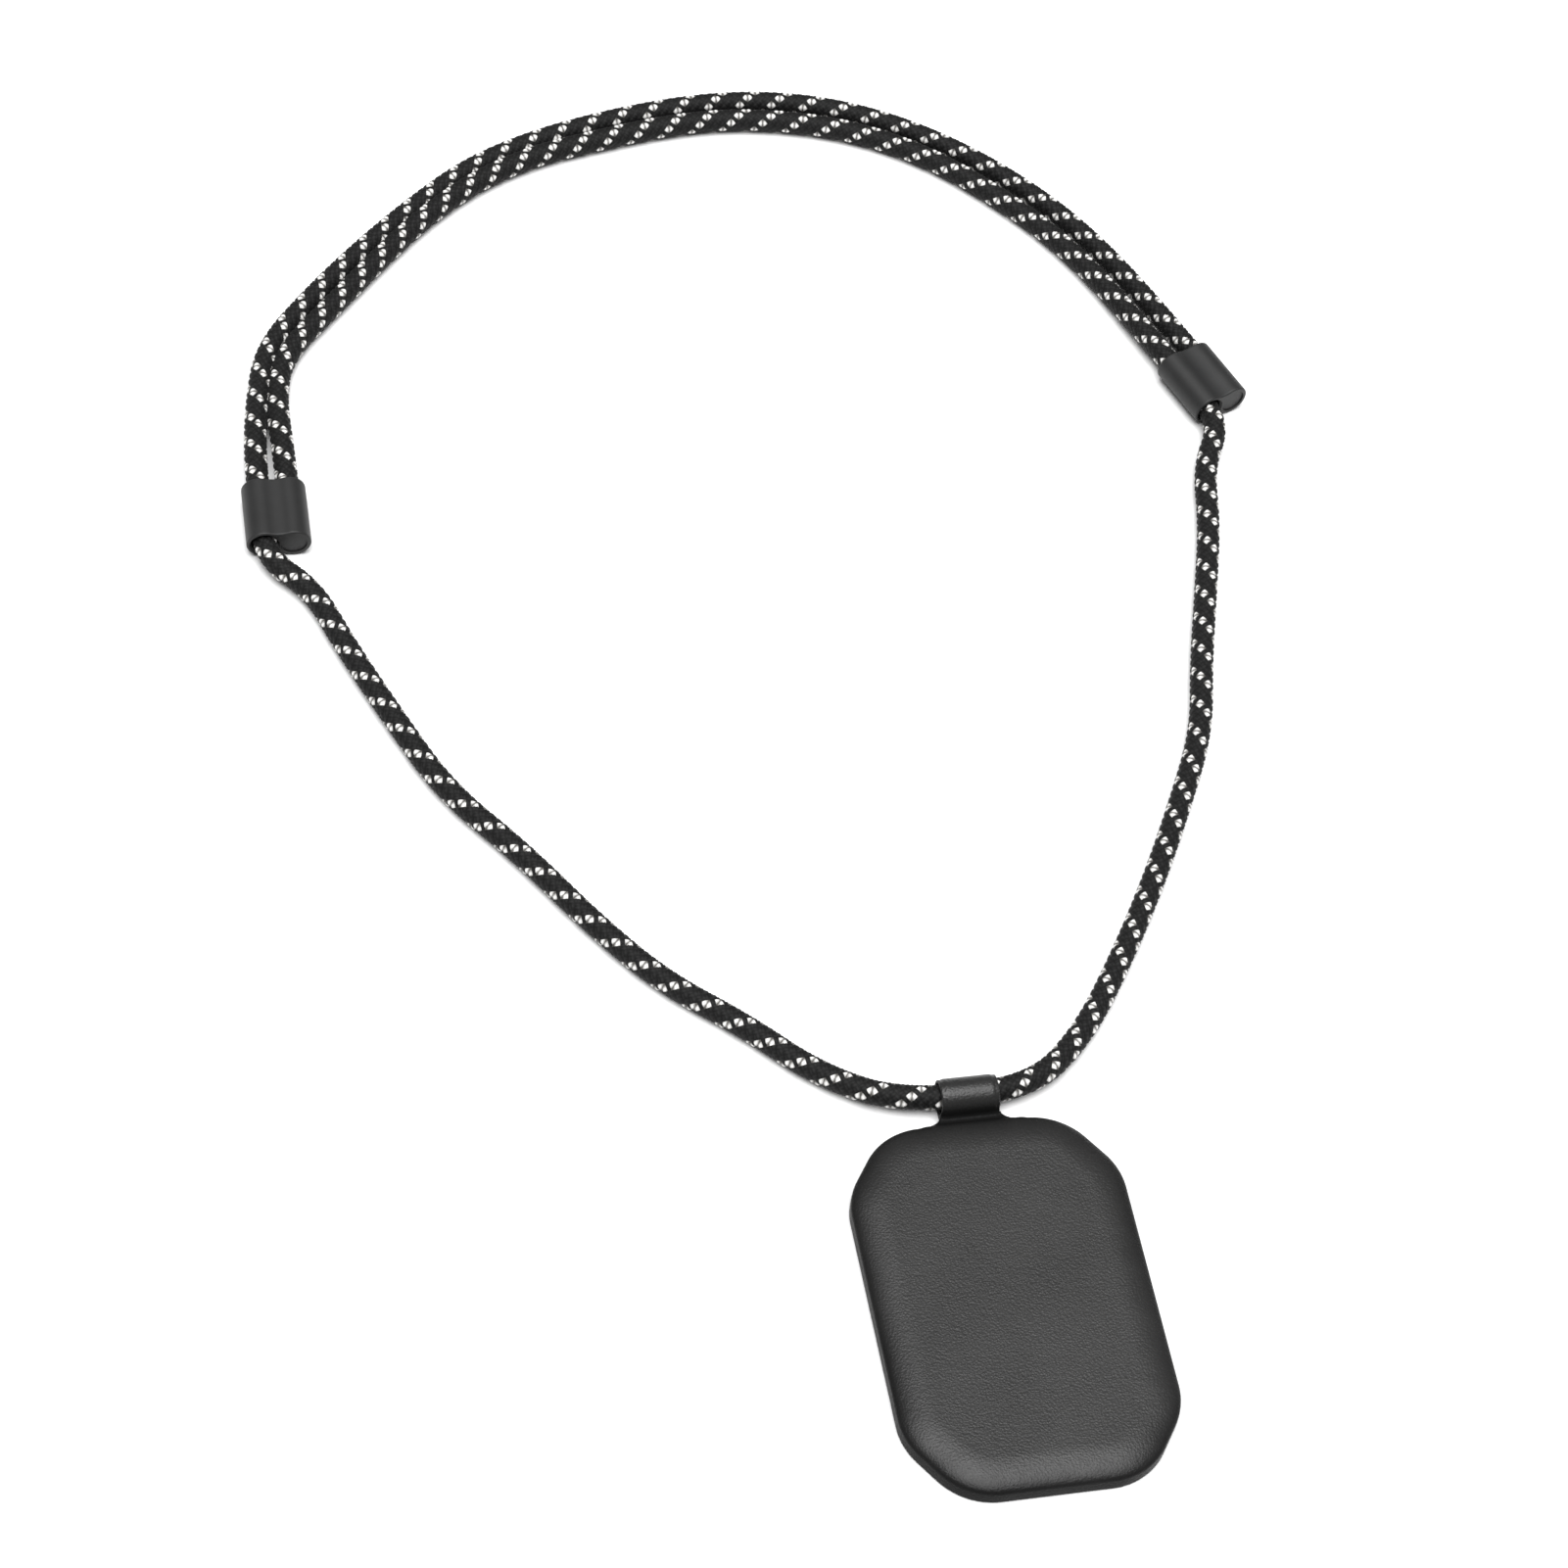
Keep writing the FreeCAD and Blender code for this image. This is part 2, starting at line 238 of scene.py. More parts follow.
def spread(tree, value, low, high, start=0.25, end=0.75):
    """Map a noise value from start..end to low..high."""
    inputs = {"Value": value, "From Min": start, "From Max": end, "To Min": low, "To Max": high}
    return node(tree, "ShaderNodeMapRange", inputs).outputs["Result"]


def ramp(tree, value, dark, light, start=0.3, end=0.7):
    made = node(tree, "ShaderNodeValToRGB", {"Fac": value})
    low, high = made.color_ramp.elements
    low.position, high.position = start, end
    low.color, high.color = (*dark, 1.0), (*light, 1.0)
    return made.outputs["Color"]


def bump(tree, height, strength, distance, below=None):
    inputs = {"Height": height, "Strength": strength, "Distance": distance}
    if below is not None:
        inputs["Normal"] = below
    return node(tree, "ShaderNodeBump", inputs).outputs["Normal"]


def math_node(tree, operation, *values):
    made = node(tree, "ShaderNodeMath", operation=operation)
    for socket, value in zip(made.inputs, values):
        if isinstance(value, bpy.types.NodeSocket):
            tree.links.new(value, socket)
        else:
            socket.default_value = value
    return made.outputs["Value"]


def grey(level, warm=0.0):
    return (level * (1 + warm), level, level * (1 - warm))


def leather_material():
    """Pebbled leather, with painted shade low on its wall: a darker colour and less specular
    there.
    """
    made, tree, shader = material("leather")
    place = object_place(tree)
    warp = node(tree, "ShaderNodeTexNoise", {"Vector": place, "Scale": 500.0, "Detail": 2.0})
    moved = node(
        tree,
        "ShaderNodeMix",
        {"Factor": 0.0006, "A": place, "B": warp.outputs["Color"]},
        data_type="VECTOR",
    ).outputs[1]
    cells = node(
        tree,
        "ShaderNodeTexVoronoi",
        {"Vector": moved, "Scale": 1900.0, "Randomness": 1.0, "Smoothness": 0.6},
        feature="SMOOTH_F1",
    ).outputs["Distance"]
    fine = noise(tree, place, scale=3400.0, detail=2.0)
    broad = noise(tree, place, scale=260.0, detail=4.0)
    clouds = noise(tree, place, scale=42.0, detail=3.0)
    tone = math_node(tree, "MULTIPLY_ADD", cells, -0.45, clouds)
    colour = ramp(tree, tone, grey(0.014, 0.01), grey(0.024, 0.01), start=0.1, end=0.6)
    # Painted shade: below 4 mm up the colour is darker and the specular lower, fading to the
    # face's colour and full specular at 6.2 mm.
    height = node(tree, "ShaderNodeSeparateXYZ", {"Vector": place}).outputs["Z"]
    above_painted_shade = spread(tree, height, low=0.0, high=1.0, start=0.0040, end=0.0062)
    painted_shade_mix = node(tree, "ShaderNodeMix", {"Factor": above_painted_shade}, data_type="RGBA")
    painted_shade_socket, face_socket, painted_shade_out = painted_shade_mix.inputs[6], painted_shade_mix.inputs[7], painted_shade_mix.outputs[2]
    # The painted shade's own colour: near black, mottled by the clouds.
    tree.links.new(ramp(tree, clouds, grey(0.006), grey(0.010)), painted_shade_socket)
    tree.links.new(colour, face_socket)
    shine = spread(tree, above_painted_shade, low=0.04, high=0.40, start=0.0, end=1.0)
    tree.links.new(shine, shader.inputs["Specular IOR Level"])
    rough_patches = spread(tree, broad, low=0.31, high=0.38)
    rough = math_node(tree, "ADD", rough_patches, spread(tree, cells, low=0.0, high=0.07))
    pebbles = bump(tree, cells, strength=0.6, distance=-0.00010)
    grain = bump(tree, fine, strength=0.45, distance=0.00006, below=pebbles)
    waves = bump(tree, broad, strength=0.15, distance=0.00014, below=grain)
    dress(tree, shader, painted_shade_out, rough, waves)
    return made


def braid_material(name, dark, light, roughness, start, taper):
    """Two ends of fibres, side by side in U, that dive at both ends of V; one unit a crossing.

    On a black crossing U runs across the yarn and V along it. On a white one U runs fore and aft
    along the cord and V round it.
    """
    made, tree, shader = material(
        name, Sheen_Weight=0.03, Sheen_Roughness=0.5, Specular_IOR_Level=0.22
    )
    yarn = node(tree, "ShaderNodeUVMap", uv_map="yarn").outputs["UV"]
    parts = node(tree, "ShaderNodeSeparateXYZ", {"Vector": yarn}).outputs
    drawn = stretched(tree, yarn, (14.0, 1.6, 1.0))
    fibres = noise(tree, drawn, scale=1.0, detail=3.0, roughness=0.6)
    end = math_node(tree, "PINGPONG", math_node(tree, "MULTIPLY", parts["X"], 4.0), 1.0)
    dive = math_node(tree, "PINGPONG", math_node(tree, "MULTIPLY", parts["Y"], 2.0), 1.0)
    rounded, tapered = math_node(tree, "SQRT", end), math_node(tree, "POWER", dive, taper)
    full = math_node(tree, "MULTIPLY", rounded, tapered)
    # Painted shade: the colour darkens between a yarn's two ends, at its edges and where it dives,
    # over the fibres' streaks.
    tone = math_node(tree, "MULTIPLY_ADD", full, 0.7, math_node(tree, "MULTIPLY", fibres, 0.5))
    colour = ramp(tree, tone, dark, light, start=start, end=0.9)
    rough = spread(tree, fibres, low=roughness - 0.08, high=roughness + 0.08)
    dress(tree, shader, colour, rough, bump(tree, fibres, strength=0.5, distance=0.00010))
    return made


def moulded_material(name, level, roughness, grain_scale=5200.0):
    """Matt moulded plastic with a fine spark-eroded grain."""
    made, tree, shader = material(name, Specular_IOR_Level=0.4)
    place = object_place(tree)
    grain = noise(tree, place, scale=grain_scale, detail=3.0, roughness=0.7)
    broad = noise(tree, place, scale=190.0, detail=3.0)
    colour = ramp(tree, broad, grey(level * 0.88, -0.01), grey(level * 1.12, -0.01))
    rough = spread(tree, grain, low=roughness - 0.05, high=roughness + 0.07)
    dress(tree, shader, colour, rough, bump(tree, grain, strength=0.35, distance=0.00005))
    return made


def lining_material():
    """Short brushed microfibre nap."""
    made, tree, shader = material("lining", Sheen_Weight=0.15, Sheen_Roughness=0.4)
    drawn = stretched(tree, object_place(tree), (1.0, 0.35, 1.0))
    nap = noise(tree, drawn, scale=4200.0, detail=3.0, roughness=0.7)
    strokes = noise(tree, drawn, scale=110.0, detail=3.0)
    tone = math_node(tree, "MULTIPLY_ADD", nap, 0.4, math_node(tree, "MULTIPLY", strokes, 0.6))
    colour = ramp(tree, tone, grey(0.018), grey(0.040), start=0.35, end=0.65)
    rough = spread(tree, nap, low=0.82, high=0.97)
    dress(tree, shader, colour, rough, bump(tree, nap, strength=0.6, distance=0.00012))
    return made


def metal_material(name, level, roughness):
    """Plated or rolled metal with fine lines and stains."""
    made, tree, shader = material(name, Metallic=1.0)
    place = object_place(tree)
    lines = noise(tree, stretched(tree, place, (1.0, 12.0, 1.0)), scale=900.0, detail=2.0)
    stains = noise(tree, place, scale=300.0, detail=4.0)
    colour = ramp(tree, stains, grey(level * 0.8), grey(level))
    rough = spread(tree, lines, low=roughness - 0.08, high=roughness + 0.08)
    dress(tree, shader, colour, rough, bump(tree, lines, strength=0.15, distance=0.00002))
    return made


def foam_material():
    made, tree, shader = material("foam")
    inputs = {"Vector": object_place(tree), "Scale": 2600.0}
    pores = node(tree, "ShaderNodeTexVoronoi", inputs).outputs["Distance"]
    colour = ramp(tree, pores, grey(0.10), grey(0.24), start=0.1, end=0.6)
    rough = spread(tree, pores, low=0.98, high=0.85, start=0.0, end=0.6)
    dress(tree, shader, colour, rough, bump(tree, pores, strength=0.8, distance=0.0002))
    return made


def adhesive_material():
    made, tree, shader = material("adhesive")
    bubbles = noise(tree, object_place(tree), scale=700.0, detail=4.0)
    colour = ramp(tree, bubbles, (0.52, 0.47, 0.36), (0.66, 0.62, 0.50))
    rough = spread(tree, bubbles, low=0.3, high=0.55)
    dress(tree, shader, colour, rough, bump(tree, bubbles, strength=0.3, distance=0.00005))
    return made


def floor_material():
    made, tree, shader = material("floor", Roughness=0.9, Specular_IOR_Level=0.1)
    paper = noise(tree, object_place(tree), scale=30.0, detail=4.0)
    colour = ramp(tree, paper, grey(0.93), grey(0.95))
    tree.links.new(colour, shader.inputs["Base Color"])
    return made


# ---------------------------------------------------------------- meshes


def mesh_object(name, points, faces, materials):
    """A smooth-shaded object of points in metres and a list of faces."""
    mesh = bpy.data.meshes.new(name)
    mesh.from_pydata(points.tolist(), [], faces)
    for slot in materials:
        mesh.materials.append(slot)
    mesh.polygons.foreach_set("use_smooth", np.ones(len(mesh.polygons), bool))
    mesh.update()
    made = bpy.data.objects.new(name, mesh)
    bpy.context.scene.collection.objects.link(made)
    return made


# ---------------------------------------------------------------- cord


def cord_line():
    """Points of the cord's centreline, evenly spaced, read from its NURBS spline."""
    curve = bpy.data.curves.new("cord_line", "CURVE")
    curve.dimensions = "3D"
    curve.resolution_u = CORD_RESOLUTION
    spline = curve.splines.new("NURBS")
    spline.points.add(len(CORD_ROUTE) - 1)
    for point, place in zip(spline.points, CORD_ROUTE):
        point.co = (*place, 1.0)
    spline.order_u = 3
    spline.use_endpoint_u = True
    holder = bpy.data.objects.new("cord_line", curve)
    bpy.context.scene.collection.objects.link(holder)
    bpy.context.view_layer.update()
    mesh = bpy.data.meshes.new_from_object(holder)
    line = np.array([v.co for v in mesh.vertices], float)
    bpy.data.objects.remove(holder)
    bpy.data.meshes.remove(mesh)
    bpy.data.curves.remove(curve)
    return line


def along_line(line, places):
    """Points on a line at the given distances along it, and the unit directions there."""
    steps = np.linalg.norm(np.diff(line, axis=0), axis=1)
    far = np.concatenate([[0.0], np.cumsum(steps)])

    def at(where):
        return np.stack([np.interp(where, far, line[:, k]) for k in range(3)], axis=1)

    direction = at(places + DIRECTION_REACH) - at(places - DIRECTION_REACH)
    return at(places), direction / np.linalg.norm(direction, axis=1)[:, None]


def line_length(line):
    return float(np.linalg.norm(np.diff(line, axis=0), axis=1).sum())


def crossing(left_step, right_step):
    """For each lattice place its two yarns, the steps into each, and if the left one is on top."""
    left_yarn, left_part = np.divmod(left_step, FINE)
    right_yarn, right_part = np.divmod(right_step, FINE)
    return left_yarn, left_part, right_yarn, right_part, (left_yarn + right_yarn) % 2 == 0


def white_parts(left_step, right_step, reach):
    """Steps into the white crossing over each lattice place, by its two yarns, or -1 for none."""
    into = np.full(left_step.shape, -1)
    onward = np.full(left_step.shape, -1)
    for left_back in (0, 1):
        for right_back in (0, 1):
            left_yarn = left_step // FINE - left_back
            right_yarn = right_step // FINE - right_back
            left_part = left_step - left_yarn * FINE
            right_part = right_step - right_yarn * FINE
            white = ((left_yarn + right_yarn) % 2 == 0) & (left_yarn % WHITE_EVERY == 0)
            white &= (left_part <= reach) & (right_part <= reach)
            into[white] = left_part[white]
            onward[white] = right_part[white]
    return into, onward


def white_place(into, onward):
    """A place in a white crossing: fore and aft along the cord, and round it, each from 0 to 1."""
    return (onward - into + WHITE_FINE) / (2 * WHITE_FINE), (onward + into) / (2 * WHITE_FINE)


def white_height(into, onward):
    """Height of a white crossing over the ground, from the steps into it along the two yarns."""
    inside = (np.minimum(into, onward) > 0) & (np.maximum(into, onward) < WHITE_FINE)
    fore, round_it = white_place(into, onward)
    ends = WHITE_GROOVE + (1 - WHITE_GROOVE) * np.abs(np.sin(2 * math.pi * fore))
    return np.where(inside, WHITE_HEIGHT * ends * np.abs(np.sin(math.pi * round_it)), 0.0)


def braid_height(left_step, right_step):
    """Height of the braid over its ground, from the steps along the two yarns."""
    _, left_part, _, right_part, left_on_top = crossing(left_step, right_step)
    across = np.array(ACROSS)[np.where(left_on_top, left_part, right_part)]
    along = np.array(ALONG)[np.where(left_on_top, right_part, left_part)]
    black = across * along * YARN_HEIGHT
    into, onward = white_parts(left_step, right_step, WHITE_FINE)
    return np.maximum(black, white_height(into, onward))


def yarn_places(left_step, right_step):
    """For each diamond, whether it is white, and U and V of its corners in the yarn on top.

    U and V run as braid_material says, with an offset of its own for each crossing.
    """
    left_yarn, left_part, right_yarn, right_part, left_on_top = crossing(left_step, right_step)
    into, onward = white_parts(left_step, right_step, WHITE_FINE - 1)
    white = into >= 0
    corner_left = np.array([0, 1, 1, 0])
    corner_right = np.array([0, 0, 1, 1])
    left_part = left_part[:, None] + corner_left
    right_part = right_part[:, None] + corner_right
    across = np.where(left_on_top[:, None], left_part, right_part) / FINE
    along = np.where(left_on_top[:, None], right_part, left_part) / FINE
    fore, round_it = white_place(into[:, None] + corner_left, onward[:, None] + corner_right)
    places = []
    for black_place, white_part, yarn, (stride, period) in zip(
        (across, along), (fore, round_it), (left_yarn, right_yarn), FIBRE_SHIFTS
    ):
        place = np.where(white[:, None], white_part, black_place)
        places.append(place + (yarn * stride % period)[:, None])
    return white, np.stack(places, axis=-1)


def end_caps(rows, per_row):
    """Triangles that close the tube's two ends, each round one more point after the rows."""
    first_middle = (rows + 1) * per_row
    last_middle = first_middle + 1
    caps = []
    for k in range(per_row):
        here, there = k, (k + 1) % per_row
        caps += [(here, here + per_row, there), (here, there, first_middle)]
    last_row = rows * per_row
    for k in range(per_row):
        here, there = last_row + k, last_row + (k + 1) % per_row
        caps += [(here, there, here - per_row), (there, here, last_middle)]
    return caps


def braid(line):
    """The cord as a braided tube: a lattice of yarn crossings wrapped round the centreline."""
    length = line_length(line)
    around = 2 * YARNS * FINE  # half-steps of the lattice round the cord
    rows = int(length / (BRAID_LEAD / around)) // 2 * 2  # an even number, as end_caps needs
    per_row = around // 2
    centre, forward = along_line(line, np.linspace(0.0, length, rows + 1))
    left = np.cross((0.0, 0.0, 1.0), forward)
    left /= np.linalg.norm(left, axis=1)[:, None]
    up = np.cross(forward, left)
    row = np.repeat(np.arange(rows + 1), per_row)
    step = np.tile(np.arange(per_row) * 2, rows + 1) + row % 2
    radius = GROUND_RADIUS + braid_height((step - row) // 2, (step + row) // 2)
    angle = step * (2 * math.pi / around)
    points = centre[row] + radius[:, None] * (
        np.cos(angle)[:, None] * up[row] + np.sin(angle)[:, None] * left[row]
    )
    points = np.concatenate([points, centre[:1], centre[-1:]])
    # Diamonds round each lattice point of the inner rows
    middle = np.repeat(np.arange(1, rows), per_row)
    column = np.tile(np.arange(per_row) * 2, rows - 1) + 1 - middle % 2

    def index(at_row, at_step):
        return at_row * per_row + (at_step % around - at_row % 2) // 2

    corners = [
        index(middle, column - 1),
        index(middle - 1, column),
        index(middle, column + 1),
        index(middle + 1, column),
    ]
    quads = np.stack(corners, axis=1)
    faces = quads.tolist() + end_caps(rows, per_row)
    # The dark colours of both cord materials are painted shade in the crevices between and under
    # the yarns.
    black = braid_material(
        "cord_black", grey(0.0015), grey(0.012), roughness=0.66, start=0.35, taper=0.5
    )
    white = braid_material(
        "cord_white", (0.08, 0.076, 0.07), (0.96, 0.95, 0.93), roughness=0.6, start=0.42, taper=0.6
    )
    made = mesh_object("cord_braid", points, faces, [black, white])
    is_white, places = yarn_places((column - 1 - middle) // 2, (column - 1 + middle) // 2)
    slots = np.zeros(len(faces), np.int32)
    slots[: len(quads)] = is_white
    made.data.polygons.foreach_set("material_index", slots)
    coordinates = np.zeros((len(made.data.loops), 2), np.float32)
    coordinates[: 4 * len(quads)] = places.reshape(-1, 2)
    layer = made.data.uv_layers.new(name="yarn")
    layer.data.foreach_set("uv", coordinates.ravel())
    return made


# ---------------------------------------------------------------- leather


def polygon_distance(x, y, corners):
    """Signed distance to a closed polygon, negative inside."""
    best = np.full(x.shape, 1e9)
    inside = np.zeros(x.shape, bool)
    for (ax, ay), (bx, by) in zip(corners, corners[1:] + corners[:1]):
        ex, ey = bx - ax, by - ay
        share = np.clip(((x - ax) * ex + (y - ay) * ey) / (ex * ex + ey * ey), 0.0, 1.0)
        best = np.minimum(best, (x - ax - share * ex) ** 2 + (y - ay - share * ey) ** 2)
        if ey:
            crosses = (ay > y) != (by > y)
            inside ^= crosses & (x < ax + (y - ay) / ey * ex)
    return np.where(inside, -1.0, 1.0) * np.sqrt(best)


def blended(a, b, reach):
    """The union of two distances, with a fillet."""
    near = np.maximum(reach - np.abs(a - b), 0.0) / reach
    return np.minimum(a, b) - near * near * reach / 4


def outline_core(width, length):
    """The corners of the pad's outline moved in by its corner radius."""
    cut_x, cut_y = OUTLINE_CUT
    slant = math.hypot(cut_x, cut_y)
    nx, ny = cut_y / slant, cut_x / slant
    half_x, half_y = width / 2, length / 2
    reach = nx * (half_x - cut_x) + ny * half_y - OUTLINE_RADIUS
    side, end = half_x - OUTLINE_RADIUS, half_y - OUTLINE_RADIUS
    quarter = [(side, (reach - nx * side) / ny), ((reach - ny * end) / nx, end)]
    half = quarter + [(-x, y) for x, y in reversed(quarter)]
    return half + [(-x, -y) for x, y in half]


def crown(height, start):
    """The front's section as (inset, height) points, from the wall's top to the flat middle."""
    points = []
    for share in np.linspace(0.0, 1.0, SHOULDER_POINTS) ** 2:
        rise = (1 - (1 - share) ** SHOULDER_POWER) ** (1 / SHOULDER_POWER)
        points.append((share * SHOULDER, start + rise * (height - start)))
    return points


class Leather:
    """The leather's shape as a signed distance, in millimetres."""

    def __init__(self):
        low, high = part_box("front_cover")
        loop_low, loop_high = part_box("cord_loop")
        self.width = (high.x - low.x) / MM
        self.length = (high.y - low.y) / MM
        self.height = high.z / MM
        self.core = outline_core(self.width, self.length)
        self.end = self.length / 2
        self.loop_radius = loop_high.z / MM / 2
        self.loop_x = (loop_low.x + loop_high.x) / 2 / MM
        self.loop_y = loop_high.y / MM - self.loop_radius
        outer = crown(self.height, WALL_HEIGHT)
        inner = crown(self.height - LEATHER, WALL_HEIGHT - LEATHER)
        self.outer = [(BASE_BEVEL, 0.0), (0.0, BASE_BEVEL), (-WALL_BULGE, WALL_HEIGHT / 2)]
        self.outer += outer + [(DEEP, self.height), (DEEP, 0.0)]
        self.inner = [(LEATHER, UNDER)]
        self.inner += [(inset + LEATHER, height) for inset, height in inner]
        self.inner += [(DEEP, self.height - LEATHER), (DEEP, UNDER)]

    def distance(self, p):
        """The signed distance at points in an array whose last axis is x, y and z."""
        x, y, z = p[..., 0], p[..., 1], p[..., 2]
        inset = OUTLINE_RADIUS - polygon_distance(x, y, self.core)
        pad = polygon_distance(inset, z, self.outer)
        cavity = polygon_distance(inset, z, self.inner)
        from_axis = np.hypot(y - self.loop_y, z - self.loop_radius)
        to_wall = np.clip((self.end + TONGUE_FLARE_REACH - y) / TONGUE_FLARE_REACH, 0.0, 1.0)
        beyond = np.abs(x - self.loop_x) - TONGUE_HALF_WIDTH - TONGUE_FLARE * to_wall**2
        edge = np.clip((beyond + TONGUE_EDGE) / TONGUE_EDGE_RAMP + 0.5, 0.0, 1.0)
        tube = from_axis - self.loop_radius + TONGUE_EDGE_STEP * edge
        tongue_start = self.end - TONGUE_OVERLAP
        neck = np.maximum(
            np.maximum(tongue_start - y, y - self.loop_y),
            np.maximum(TONGUE_BOTTOM - z, z - TONGUE_TOP),
        )
        strap = np.maximum(blended(tube, neck, NECK_FILLET), beyond)
        shape = blended(pad, strap, PAD_FILLET)
        shape = np.maximum(shape, -(from_axis - self.loop_radius + TONGUE_WALL))
        shape = np.maximum(shape, -cavity)
        return np.maximum(shape, -z)


def surface_net(shape, low, high, step):
    """Quads round the zero surface of shape.distance in a box, with points moved onto it."""
    counts = [int(math.ceil((b - a) / step)) + 1 for a, b in zip(low, high)]
    axes = [a + step * np.arange(n) for a, n in zip(low, counts)]
    field = np.empty(counts)
    for k, z in enumerate(axes[2]):
        x, y = np.meshgrid(axes[0], axes[1], indexing="ij")
        field[:, :, k] = shape.distance(np.stack([x, y, np.full_like(x, z)], axis=-1))
    cells = [n - 1 for n in counts]
    total = np.zeros((*cells, 3))
    hits = np.zeros(cells)
    crossings = []
    for axis in range(3):
        near = [slice(None)] * 3
        far = [slice(None)] * 3
        near[axis], far[axis] = slice(0, -1), slice(1, None)
        a, b = field[tuple(near)], field[tuple(far)]
        crossed = np.argwhere((a < 0) != (b < 0))
        va, vb = a[tuple(crossed.T)], b[tuple(crossed.T)]
        place = crossed.astype(float)
        place[:, axis] += va / (va - vb)
        others = [k for k in range(3) if k != axis]
        for da in (0, 1):
            for db in (0, 1):
                cell = crossed.copy()
                cell[:, others[0]] -= da
                cell[:, others[1]] -= db
                good = np.all((cell >= 0) & (cell < np.array(cells)), axis=1)
                key = tuple(cell[good].T)
                np.add.at(total, key, place[good])
                np.add.at(hits, key, 1)
        crossings.append((axis, others, crossed, va < 0))
    used = hits > 0
    numbers = np.full(cells, -1)
    numbers[used] = np.arange(used.sum())
    points = np.array(low) + step * total[used] / hits[used][:, None]
    quads = []
    for axis, (one, two), crossed, rising in crossings:
        corners = []
        for da, db in ((0, 0), (1, 0), (1, 1), (0, 1)):
            cell = crossed.copy()
            cell[:, one] -= da
            cell[:, two] -= db
            corners.append(numbers[tuple(cell.T)])
        ring = np.stack(corners, axis=1)
        flip = rising != (axis == 1)
        ring[flip] = ring[flip][:, ::-1]
        quads.append(ring)
    return onto_surface(shape, points), np.concatenate(quads)


def onto_surface(shape, points):
    """Move points to the shape's zero surface along its gradient, by a limited way each round."""
    for _ in range(MOVE_ROUNDS):
        here = shape.distance(points)
        slope = np.empty_like(points)
        for k in range(3):
            side = np.zeros(3)
            side[k] = SLOPE_NUDGE
            rise = shape.distance(points + side) - shape.distance(points - side)
            slope[:, k] = rise / (2 * SLOPE_NUDGE)
        size = np.maximum((slope**2).sum(axis=1), SLOPE_LEAST)
        move = -(here / size)[:, None] * slope
        points = points + np.clip(move, -MOVE_MOST, MOVE_MOST)
    return points


def leather():
    """The cover: the zero surface of the leather's shape, cut off flat at the floor."""
    shape = Leather()
    half = shape.width / 2 + GRID_MARGIN
    top = 2 * shape.loop_radius + GRID_MARGIN
    low = (-half, -shape.end - GRID_MARGIN, -GRID_BELOW)
    high = (half, shape.loop_y + shape.loop_radius + GRID_MARGIN, top)
    points, quads = surface_net(shape, low, high, GRID_STEP)
    points[:, 2] = np.maximum(points[:, 2], 0.0)
    return mesh_object("leather_cover", points * MM, quads.tolist(), [leather_material()])


# ---------------------------------------------------------------- scene


def make_camera():
    data = bpy.data.cameras.new("camera")
    data.lens = CAMERA_LENS
    data.sensor_width = CAMERA_SENSOR
    data.clip_end = CAMERA_CLIP_END
    camera = bpy.data.objects.new("camera", data)
    place, target = Vector(CAMERA_PLACE), Vector(CAMERA_TARGET)
    turn = (target - place).to_track_quat("-Z", "Y").to_matrix().to_4x4()
    camera.matrix_world = Matrix.Translation(place) @ turn @ Matrix.Rotation(CAMERA_ROLL, 4, "Z")
    bpy.context.scene.collection.objects.link(camera)
    bpy.context.scene.camera = camera


def soft_light(name, direction, spread_angle, strength):
    """A wide light from far away, like a large softbox, that lights the floor evenly."""
    data = bpy.data.lights.new(name, "SUN")
    data.angle = spread_angle
    data.energy = strength
    light = bpy.data.objects.new(name, data)
    light.rotation_mode = "QUATERNION"
    light.rotation_quaternion = Vector(direction).to_track_quat("-Z", "Y")
    bpy.context.scene.collection.objects.link(light)


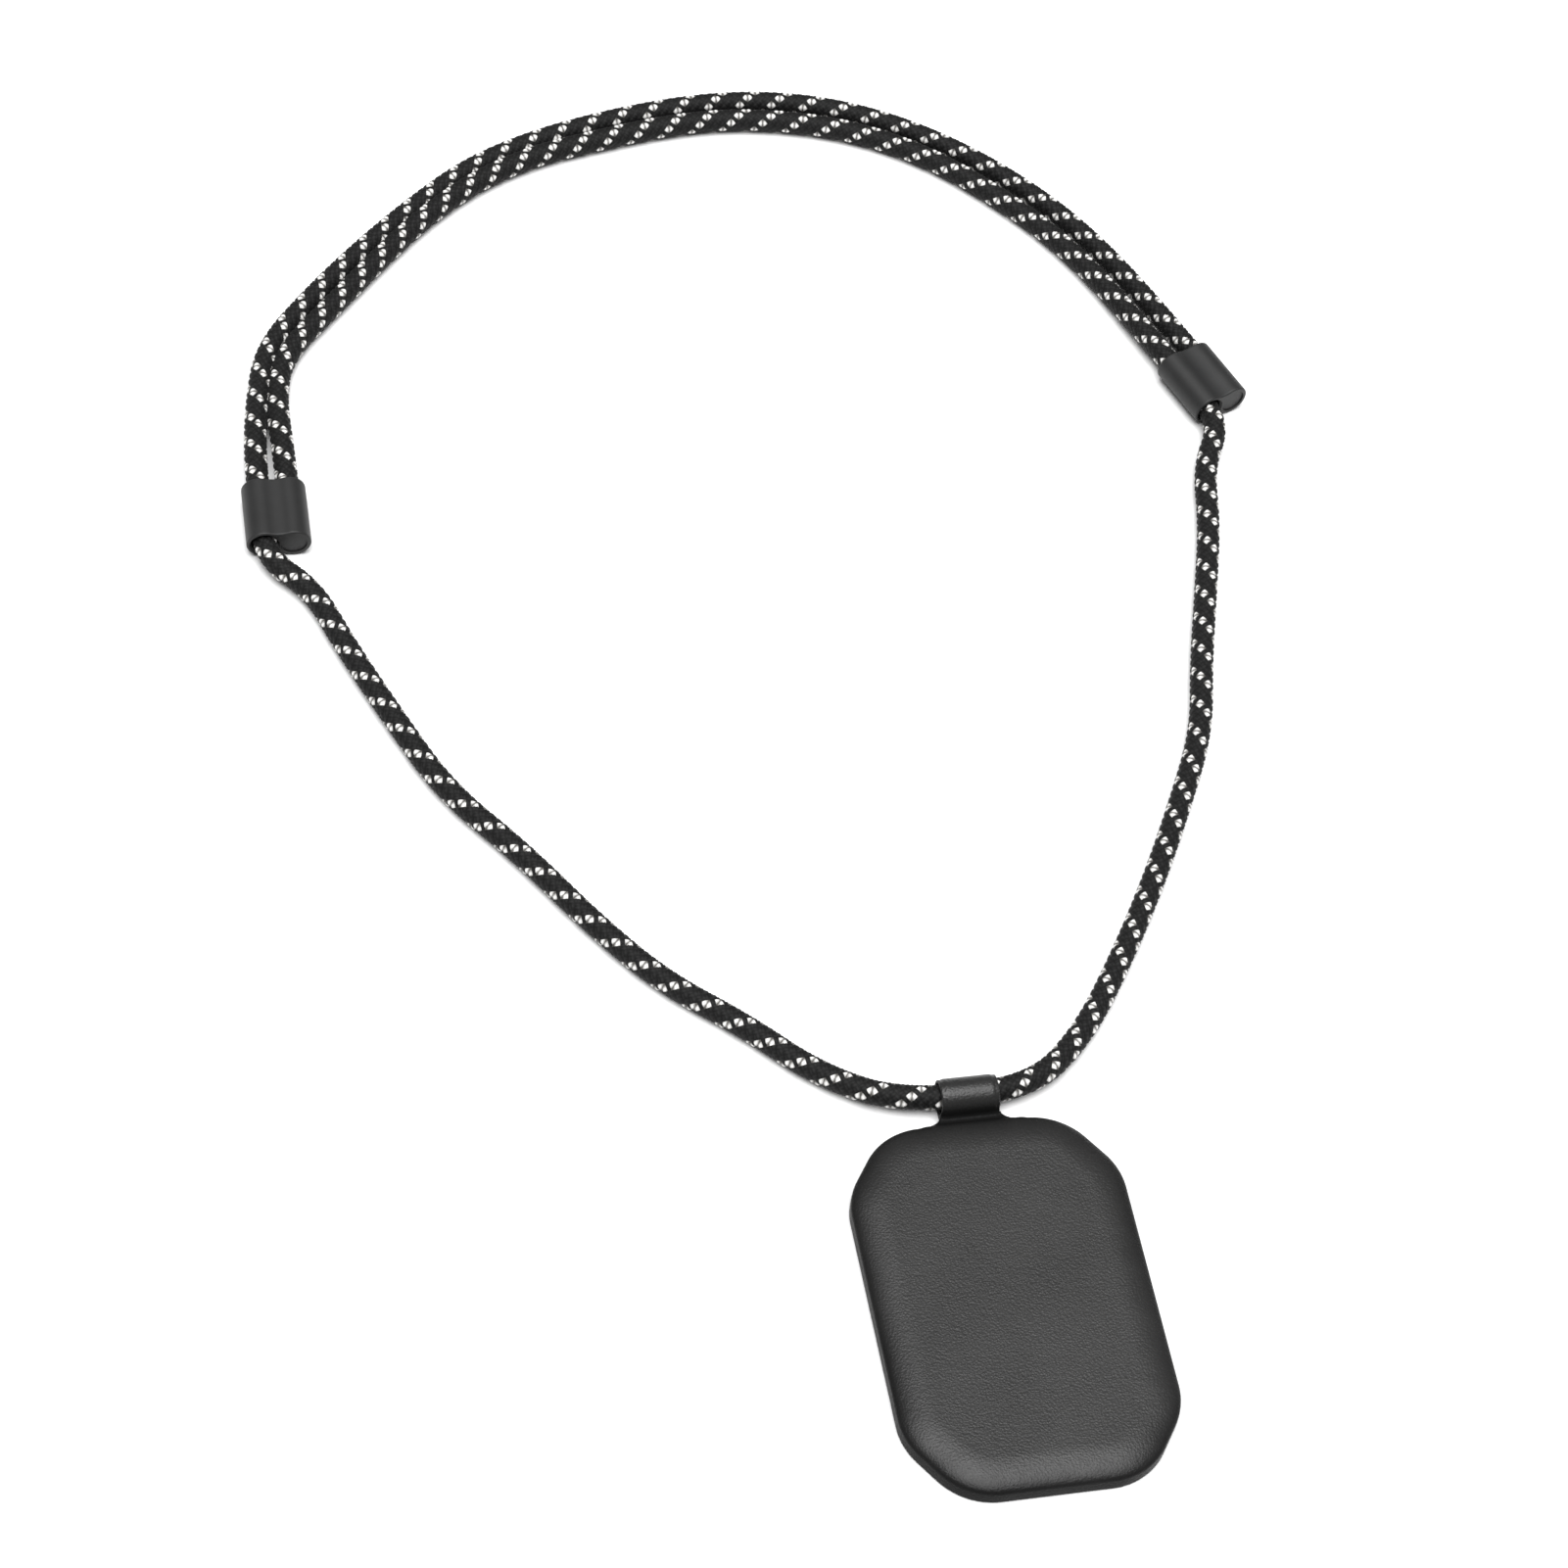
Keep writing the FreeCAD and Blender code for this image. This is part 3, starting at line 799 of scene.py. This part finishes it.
def make_stage():
    """A white floor, an even sky and one wide light overhead."""
    sides = ((-1, -1), (1, -1), (1, 1), (-1, 1))
    corners = np.array([(x * FLOOR_REACH, y * FLOOR_REACH, 0.0) for x, y in sides])
    floor = mesh_object("floor", corners, [[0, 1, 2, 3]], [floor_material()])
    world = bpy.data.worlds.new("world")
    world.use_nodes = True
    background = world.node_tree.nodes["Background"]
    background.inputs["Color"].default_value = (1.0, 1.0, 1.0, 1.0)
    background.inputs["Strength"].default_value = SKY_STRENGTH
    bpy.context.scene.world = world
    soft_light("overhead", LIGHT_DIRECTION, LIGHT_ANGLE, LIGHT_STRENGTH)
    view = bpy.context.scene.view_settings
    view.view_transform = "Standard"
    view.look = "None"


def finish_nodes():
    """Materials for the CAD nodes that stay."""
    plastic = moulded_material("slider", level=0.014, roughness=0.52)
    plug = moulded_material("end_plug", level=0.016, roughness=0.5)
    carrier = moulded_material("carrier", level=0.30, roughness=0.45, grain_scale=2600.0)
    sleeve = moulded_material("sleeve", level=0.02, roughness=0.4)
    magnet = metal_material("magnet", level=0.72, roughness=0.25)
    steel = metal_material("shunt_steel", level=0.45, roughness=0.4)
    looks = {
        "back_panel": lining_material(),
        "panel_adhesive": adhesive_material(),
        "carrier_plate": carrier,
        "foam_pad": foam_material(),
        "alignment_magnet": magnet,
        "shunt_ring": steel,
        "shunt_bar": steel,
    }
    for side in ("left", "right"):
        looks[f"slider_{side}"] = plastic
        looks[f"end_plug_{side}"] = plug
        looks[f"end_sleeve_{side}"] = sleeve
    for name, made in NODES.items():
        look = looks.get(name, magnet if name.startswith("magnet") else None)
        if look is None:
            continue
        made.data.materials.clear()
        made.data.materials.append(look)


make_camera()
cord_route = cord_line()
route_length = line_length(cord_route)
cord = braid(cord_route)
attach(cord, "cord")
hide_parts("cord")
path_places = np.linspace(0.0, route_length, int(route_length / PATH_STEP))
cord_path, _ = along_line(cord_route, path_places)

cover = leather()
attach(cover, "pad")
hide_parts("front_cover", "cord_loop")

finish_nodes()
make_stage()
